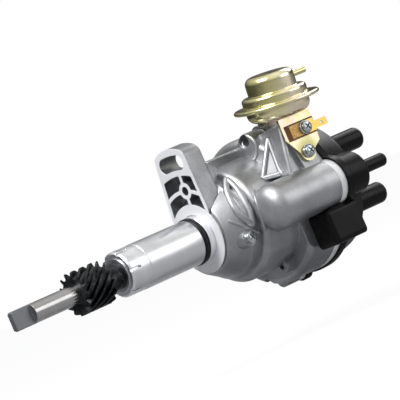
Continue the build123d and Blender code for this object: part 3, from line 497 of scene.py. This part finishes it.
# One finish for each material slot of the record
finishes = {
    "casting": cast_metal("blasted_casting", (0.40, 0.405, 0.41, 1),
                          turned_dark=(0.66, 0.67, 0.69, 1), turned_light=(0.92, 0.93, 0.94, 1)),
    "rubber": oiled_rubber(),
    "bronze": plated_metal("sintered_bronze", (0.36, 0.22, 0.10, 1), (0.52, 0.35, 0.18, 1), rough=(0.4, 0.6)),
    "zinc_screw": plated_metal("bright_zinc", (0.32, 0.35, 0.37, 1), (0.62, 0.66, 0.68, 1),
                               rough=(0.16, 0.3)),
    "seal": moulded_plastic("pale_seal", (0.92, 0.92, 0.92, 1), rough=(0.45, 0.6), tone=0.1),
    "cap_plastic": moulded_plastic("black_moulding", (0.004, 0.004, 0.0045, 1), rough=(0.22, 0.36),
                                   gloss=0.15),
    "contact": plated_metal("bare_contact", (0.60, 0.61, 0.62, 1), (0.78, 0.79, 0.80, 1), rough=(0.25, 0.4)),
    "carbon": moulded_plastic("carbon_stick", (0.02, 0.02, 0.02, 1), rough=(0.5, 0.7)),
    "spring_steel": plated_metal("spring_wire", (0.35, 0.36, 0.38, 1), (0.55, 0.56, 0.58, 1),
                                 rough=(0.25, 0.4)),
    # The can's colour is lifted paler as painted light, standing in for its bright highlights.
    "yellow_zinc": yellow_passivated("yellow_can", painted_brightness=1.22, blush=(0.78, 0.68, 0.52), drift_scale=26.0),
    "board": laminate_board(),
    "brass": plated_metal("bare_brass", (0.62, 0.40, 0.13, 1), (0.86, 0.62, 0.26, 1), rough=(0.2, 0.34)),
    "plate_steel": plated_metal("pressed_steel", (0.42, 0.43, 0.45, 1), (0.62, 0.63, 0.65, 1),
                                rough=(0.28, 0.42)),
    "shaft_steel": ground_steel(),
    "gear_steel": black_oiled_steel(),
    "coil": moulded_plastic("resin_coil", (0.20, 0.06, 0.03, 1), rough=(0.3, 0.5)),
}

# The pieces that look unlike the rest of their slot
own_finishes = {
    "clamp_lug": cast_metal("milled_lug", (0.33, 0.335, 0.34, 1), turned_dark=(0.80, 0.80, 0.83, 1),
                            turned_light=(0.90, 0.90, 0.93, 1), turned_metal=0.25, turned_rough=0.42),
    # The gear pin takes the near-black gear steel as painted shade, standing in for the shaded hole in the
    # hub.
    "gear_pin": finishes["gear_steel"],
    "terminal_tab": two_tone_brass(),
    # The bracket's colour is kept darker as painted shade, since its flat plate faces the lamps.
    "can_bracket": yellow_passivated("yellow_bracket", painted_brightness=0.85, blush=(0.80, 0.60, 0.52), drift_scale=60.0),
}


def dress_nodes():
    """Give each carried-over piece its own finish, or else the one of its material slot."""
    for entry in frame["record"]["subparts"]:
        materials = frame["nodes"][entry["node"]].data.materials
        materials.clear()
        materials.append(own_finishes.get(entry["node"], finishes[entry["material_slot"]]))


def select_only(piece):
    """Make one piece the active and only selected object."""
    bpy.ops.object.select_all(action="DESELECT")
    piece.select_set(True)
    bpy.context.view_layer.objects.active = piece


def start_piece(name):
    """Name the primitive that was just added and fix its place in its mesh."""
    piece = bpy.context.object
    piece.name = name
    bpy.ops.object.transform_apply(location=True, rotation=True, scale=True)
    return piece


def add_modifier(piece, kind, **values):
    """Add a modifier and apply it at once."""
    modifier = piece.modifiers.new(kind.lower(), kind)
    for label, value in values.items():
        setattr(modifier, label, value)
    bpy.context.view_layer.objects.active = piece
    bpy.ops.object.modifier_apply(modifier=modifier.name)


def round_edges(piece, width, segments, over_deg):
    """Round the edges that turn by more than an angle."""
    add_modifier(piece, "BEVEL", width=width, segments=segments, limit_method="ANGLE",
                 angle_limit=math.radians(over_deg))


def cut_away(piece, cutter):
    """Cut one piece out of another and delete it."""
    add_modifier(piece, "BOOLEAN", operation="DIFFERENCE", object=cutter, solver="EXACT")
    bpy.data.objects.remove(cutter)


def seat(piece, origin, direction):
    """Turn a piece built along +Z to its direction, move it to its seat and fix that in its mesh."""
    piece.matrix_world = Matrix.Translation(origin) @ direction.to_track_quat("Z", "Y").to_matrix().to_4x4()
    select_only(piece)
    bpy.ops.object.transform_apply(location=True, rotation=True, scale=True)


def finish_piece(piece, slot, body="housing"):
    """Smooth a piece, give it its finish and let it ride on its body; a blended piece has none."""
    smooth_below = math.radians(35)
    select_only(piece)
    bpy.ops.object.shade_smooth_by_angle(angle=smooth_below)
    piece.data.materials.clear()
    piece.data.materials.append(finishes[slot])
    if body:
        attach(piece, body)


def select_top(piece):
    """Open a piece in edit mode with only its upward faces selected."""
    least_rise = 0.9
    select_only(piece)
    bpy.ops.object.mode_set(mode="EDIT")
    bpy.ops.mesh.select_mode(type="FACE")
    bpy.ops.mesh.select_all(action="DESELECT")
    bpy.ops.object.mode_set(mode="OBJECT")
    for face in piece.data.polygons:
        face.select = face.normal.z > least_rise
    bpy.ops.object.mode_set(mode="EDIT")


def cross_screw(name, node, place):
    """A domed screw with a cross recess, a washer and a shank, seated on the bracket side."""
    head_r = 3.7 * millimetre
    head_high = 2.6 * millimetre
    shank_length = 8.0 * millimetre
    washer_r = head_r * 1.16
    washer_thick = head_high * 0.26
    recess_turn = 0.6
    recess_size = Vector((head_r * 1.25, head_r * 0.24, head_high * 1.1))
    recess_z = head_high * 1.05
    bpy.ops.object.select_all(action="DESELECT")
    bpy.ops.mesh.primitive_cylinder_add(vertices=48, radius=head_r, depth=head_high,
                                        location=(0, 0, head_high / 2))
    head = start_piece(name)
    select_top(head)
    for inset, rise in ((head_r * 0.28, head_high * 0.16), (head_r * 0.25, head_high * 0.08)):
        bpy.ops.mesh.inset(thickness=inset, depth=rise)
    bpy.ops.object.mode_set(mode="OBJECT")
    round_edges(head, width=head_high * 0.10, segments=3, over_deg=25)
    for turn in (recess_turn, recess_turn + math.pi / 2):
        bpy.ops.object.select_all(action="DESELECT")
        bpy.ops.mesh.primitive_cube_add(size=1, location=(0, 0, recess_z), rotation=(0, 0, turn),
                                        scale=recess_size)
        cut_away(head, start_piece("recess"))
    bpy.ops.object.select_all(action="DESELECT")
    bpy.ops.mesh.primitive_cylinder_add(vertices=48, radius=washer_r, depth=washer_thick,
                                        location=(0, 0, washer_thick / 2))
    washer = start_piece("washer")
    round_edges(washer, width=head_high * 0.06, segments=2, over_deg=30)
    bpy.ops.object.select_all(action="DESELECT")
    bpy.ops.mesh.primitive_cylinder_add(vertices=32, radius=head_r / 2, depth=shank_length,
                                        location=(0, 0, -shank_length / 2))
    start_piece("shank")
    washer.select_set(True)
    head.select_set(True)
    bpy.context.view_layer.objects.active = head
    bpy.ops.object.join()
    seat(head, Vector(place) * millimetre, bracket_side)
    finish_piece(head, "zinc_screw")
    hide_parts(node)


def rolled_rim():
    """The can's folded rim: a flattened ring that closes over the two pressings."""
    rim_half = 1.55 * millimetre
    rim_along = 1.2 * millimetre
    flatness = 0.88
    bpy.ops.object.select_all(action="DESELECT")
    bpy.ops.mesh.primitive_torus_add(major_radius=can_rim_r - rim_half / 2, minor_radius=rim_half,
                                     major_segments=128, minor_segments=20)
    rim = start_piece("can_rolled_rim")
    bpy.ops.object.mode_set(mode="EDIT")
    bpy.ops.mesh.select_all(action="SELECT")
    bpy.ops.transform.resize(value=(1, 1, flatness))
    bpy.ops.object.mode_set(mode="OBJECT")
    seat(rim, can_centre + can_axis * rim_along, can_axis)
    finish_piece(rim, "yellow_zinc")


def board_eyelets():
    """Two hollow rivets that hold the terminal to its board."""
    ring_r = 0.75 * millimetre
    lip_r = 0.3 * millimetre
    rivets_mm = ((60.0, 39.2), (60.5, 34.8))
    for count, (x, z) in enumerate(rivets_mm):
        bpy.ops.object.select_all(action="DESELECT")
        bpy.ops.mesh.primitive_torus_add(major_radius=ring_r, minor_radius=lip_r,
                                         major_segments=32, minor_segments=12)
        eyelet = start_piece("board_eyelet_%d" % (count + 1))
        seat(eyelet, Vector((x, tab_face_mm, z)) * millimetre, bracket_side)
        finish_piece(eyelet, "brass")


def around(x, reach, turn_deg):
    """A point of the casting from its place along the axis, its reach from it and its turn from the front."""
    turn = math.radians(turn_deg)
    return (x, -reach * math.cos(turn), reach * math.sin(turn))


def round_bar(name, route, half_width):
    """A round bar along a smooth route, with the route and its half width in millimetres."""
    bpy.ops.object.select_all(action="DESELECT")
    bpy.ops.curve.primitive_nurbs_path_add()
    bar = start_piece(name)
    path = bar.data.splines[0]
    path.points.add(len(route) - len(path.points))
    for point, place in zip(path.points, route):
        point.co = (*(Vector(place) * millimetre), 1)
    path.order_u = 4
    path.use_endpoint_u = True
    bar.data.bevel_depth = half_width * millimetre
    bar.data.bevel_resolution = 5
    bar.data.use_fill_caps = True
    bar.data.resolution_u = 12
    bpy.ops.object.convert(target="MESH")
    bar = bpy.context.object
    bar.name = name
    return bar


def cast_ridge(name, half_width, route):
    """A rounded ridge of the casting, half sunk in it."""
    finish_piece(round_bar(name, route, half_width), "casting")


def wound_spring(name, node, body, foot, head, coil_r, wire_r, turns):
    """A wound wire spring from its foot to its head, in millimetres, in place of its plain sleeve."""
    points_a_turn = 12
    steps = points_a_turn * turns
    length = (head - foot).length - 2 * wire_r
    route = []
    for count in range(steps + 1):
        turn = math.tau * count / points_a_turn
        route.append((coil_r * math.cos(turn), coil_r * math.sin(turn), wire_r + length * count / steps))
    spring = round_bar(name, route, wire_r)
    seat(spring, foot * millimetre, head - foot)
    finish_piece(spring, "spring_steel", body)
    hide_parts(node)
    return spring


def can_spring():
    """The diaphragm's return spring in the can, wound at one fixed length; it does not shorten as the rod is
    drawn in.
    """
    foot_along = 2.6
    head_along = 19.0
    foot = can_centre / millimetre + can_axis * foot_along
    head = can_centre / millimetre + can_axis * head_along
    spring = wound_spring("can_wound_spring", "diaphragm_spring", "housing", foot, head,
                          coil_r=9.3, wire_r=0.75, turns=5)
    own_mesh(spring)


def governor_wound_springs():
    """The two springs from the governor plate's posts to the cam's, wound at one fixed length; they do not
    stretch as the cam turns ahead.
    """
    spring_x = 36.0
    plate_post = (27.0, math.radians(-32))
    cam_post = (20.0, math.radians(-62))
    post_r = 1.2
    for count, side in enumerate((1, -1)):
        low, high = (Vector((spring_x, side * reach * math.cos(turn), side * reach * math.sin(turn)))
                     for reach, turn in (plate_post, cam_post))
        run = (high - low).normalized() * post_r
        spring = wound_spring("governor_wound_spring_%d" % (count + 1), "governor_springs", None,
                              low + run, high - run, coil_r=1.55, wire_r=0.35, turns=9)
        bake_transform(spring)


def neck_ridges():
    """The two ridges that frame the lens-shaped hollow of the neck, and the ones beside and below it."""
    top = (21.4, -20.4, 26.6)
    foot = (18.2, -30.6, -5.0)
    cast_ridge("neck_ridge_front", 2.3, [
        top, (17.4, -21.6, 22.6), (14.2, -24.6, 17.4), (12.4, -26.8, 12.1), (12.0, -28.4, 6.6),
        (13.8, -29.8, 0.8), foot,
    ])
    cast_ridge("neck_ridge_back", 2.2, [
        top, (22.0, -23.4, 23.4), (21.6, -26.4, 17.6), (20.6, -28.8, 11.8), (19.9, -30.6, 6.0),
        (19.4, -31.2, 0.3), foot,
    ])
    cast_ridge("tower_ridge", 1.2, [
        (27.0, -33.6, 13.9), (22.5, -37.4, 11.0), (20.6, -39.0, 7.0), (20.2, -39.0, 0.4), (20.3, -37.6, -5.8),
        (20.8, -35.4, -10.6),
    ])
    cast_ridge("neck_ridge_foot", 1.3, [
        around(6.0, 25.2, 8), around(9.0, 27.2, 1), around(12.0, 28.8, -5), around(15.0, 30.4, -11),
        around(18.0, 31.0, -16), around(21.0, 31.0, -20),
    ])


def pedestal_ridges():
    """Two ribs from the pedestal's top to the bowl and the coil tower, with a sill and a web between them."""
    rib_half = 1.7
    web_depth = 9 * millimetre
    top = (52.6, -35.1, 39.5)
    bowl_foot = (39.9, -30.8, 18.5)
    tower_foot = (47.6, -38.9, 17.0)
    cast_ridge("pedestal_rib_bowl", rib_half, [
        top, (50.1, -34.2, 35.3), (47.5, -33.4, 31.1), (45.0, -32.5, 26.9), (42.4, -31.7, 22.7), bowl_foot,
    ])
    cast_ridge("pedestal_rib_tower", rib_half, [
        top, (51.4, -35.9, 34.0), (50.3, -36.6, 28.1), (49.0, -37.7, 22.5), tower_foot, (47.4, -42.0, 15.2),
        (47.6, -46.6, 15.4),
    ])
    cast_ridge("pedestal_rib_sill", rib_half, [
        bowl_foot, (41.8, -32.8, 18.1), (43.7, -34.8, 17.7), (45.6, -36.8, 17.4), tower_foot,
    ])
    bpy.ops.object.select_all(action="DESELECT")
    bpy.ops.mesh.primitive_circle_add(vertices=3, radius=millimetre, fill_type="NGON")
    web = start_piece("pedestal_web")
    for corner, place in zip(web.data.vertices, (top, bowl_foot, tower_foot)):
        corner.co = Vector(place) * millimetre
    web.data.update()
    inward = 1 if web.data.polygons[0].normal.dot(view_back) < 0 else -1
    add_modifier(web, "SOLIDIFY", thickness=web_depth, offset=inward)
    finish_piece(web, "casting")


def ear_lobe():
    """The rounded lobe of the bowl that carries the upper cap screw, open round the screw."""
    lobe_r = 8.8 * millimetre
    face_x = 49.0 * millimetre
    back_x = 62.4 * millimetre
    lobe_length = back_x - face_x
    lobe_foot = Vector((face_x, -17.6 * millimetre, 39.4 * millimetre))
    pocket_r = 4.3 * millimetre
    pocket_foot = Vector((face_x, -17.0 * millimetre, 43.8 * millimetre))
    bpy.ops.object.select_all(action="DESELECT")
    bpy.ops.mesh.primitive_cylinder_add(vertices=96, radius=lobe_r, depth=lobe_length,
                                        location=(0, 0, lobe_length / 2))
    lobe = start_piece("ear_lobe")
    seat(lobe, lobe_foot, along_shaft)
    round_edges(lobe, width=1.6 * millimetre, segments=5, over_deg=40)
    bpy.ops.object.select_all(action="DESELECT")
    bpy.ops.mesh.primitive_cylinder_add(vertices=64, radius=pocket_r, depth=2 * lobe_length)
    pocket = start_piece("pocket")
    seat(pocket, pocket_foot, along_shaft)
    cut_away(lobe, pocket)
    finish_piece(lobe, "casting")


def neck_web():
    """The cast cone that joins the back of the flange to the bowl's shoulder, clear of the clamp lug."""
    foot_r = 23.4 * millimetre
    top_r = 31.1 * millimetre
    start_x = 1.4 * millimetre
    length = 15.1 * millimetre
    lug_centre = Vector((7, -2.4, 38)) * millimetre
    lug_size = Vector((14, 37.2, 60)) * millimetre
    lug_tilt = math.radians(4.5)
    bpy.ops.object.select_all(action="DESELECT")
    bpy.ops.mesh.primitive_cone_add(vertices=128, radius1=foot_r, radius2=top_r, depth=length,
                                    location=(0, 0, length / 2), end_fill_type="NGON")
    web = start_piece("neck_web")
    round_edges(web, width=1.2 * millimetre, segments=4, over_deg=30)
    seat(web, along_shaft * start_x, along_shaft)
    bpy.ops.object.select_all(action="DESELECT")
    bpy.ops.mesh.primitive_cube_add(size=1, location=lug_centre, rotation=(lug_tilt, 0, 0), scale=lug_size)
    cut_away(web, start_piece("lug_room"))
    finish_piece(web, "casting")


def connector_hood():
    """The rounded hood on the connector's upper outer edge."""
    hood_r = 5.2 * millimetre
    length_share = 0.62
    inward = 5.6 * millimetre
    below_top = 3.4 * millimetre
    low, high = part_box("connector")
    bpy.ops.object.select_all(action="DESELECT")
    bpy.ops.mesh.primitive_cylinder_add(vertices=64, radius=hood_r, depth=(high[0] - low[0]) * length_share)
    hood = start_piece("connector_hood")
    round_edges(hood, width=1.6 * millimetre, segments=5, over_deg=40)
    seat(hood, Vector(((low[0] + high[0]) / 2, low[1] + inward, high[2] - below_top)), along_shaft)
    finish_piece(hood, "cap_plastic")


place_camera()
light_studio()
white_floor()
dress_nodes()
cross_screw("bracket_cross_screw_1", "bracket_screw", (66.0, bracket_face_mm, 23.0))
cross_screw("terminal_cross_screw_1", "terminal_screw", (69.0, tab_face_mm, 37.0))
cross_screw("neck_cross_screw_1", "neck_screw", (12.0, -30.2, -11.0))
neck_web()
neck_ridges()
pedestal_ridges()
ear_lobe()
rolled_rim()
can_spring()
governor_wound_springs()
board_eyelets()
connector_hood()
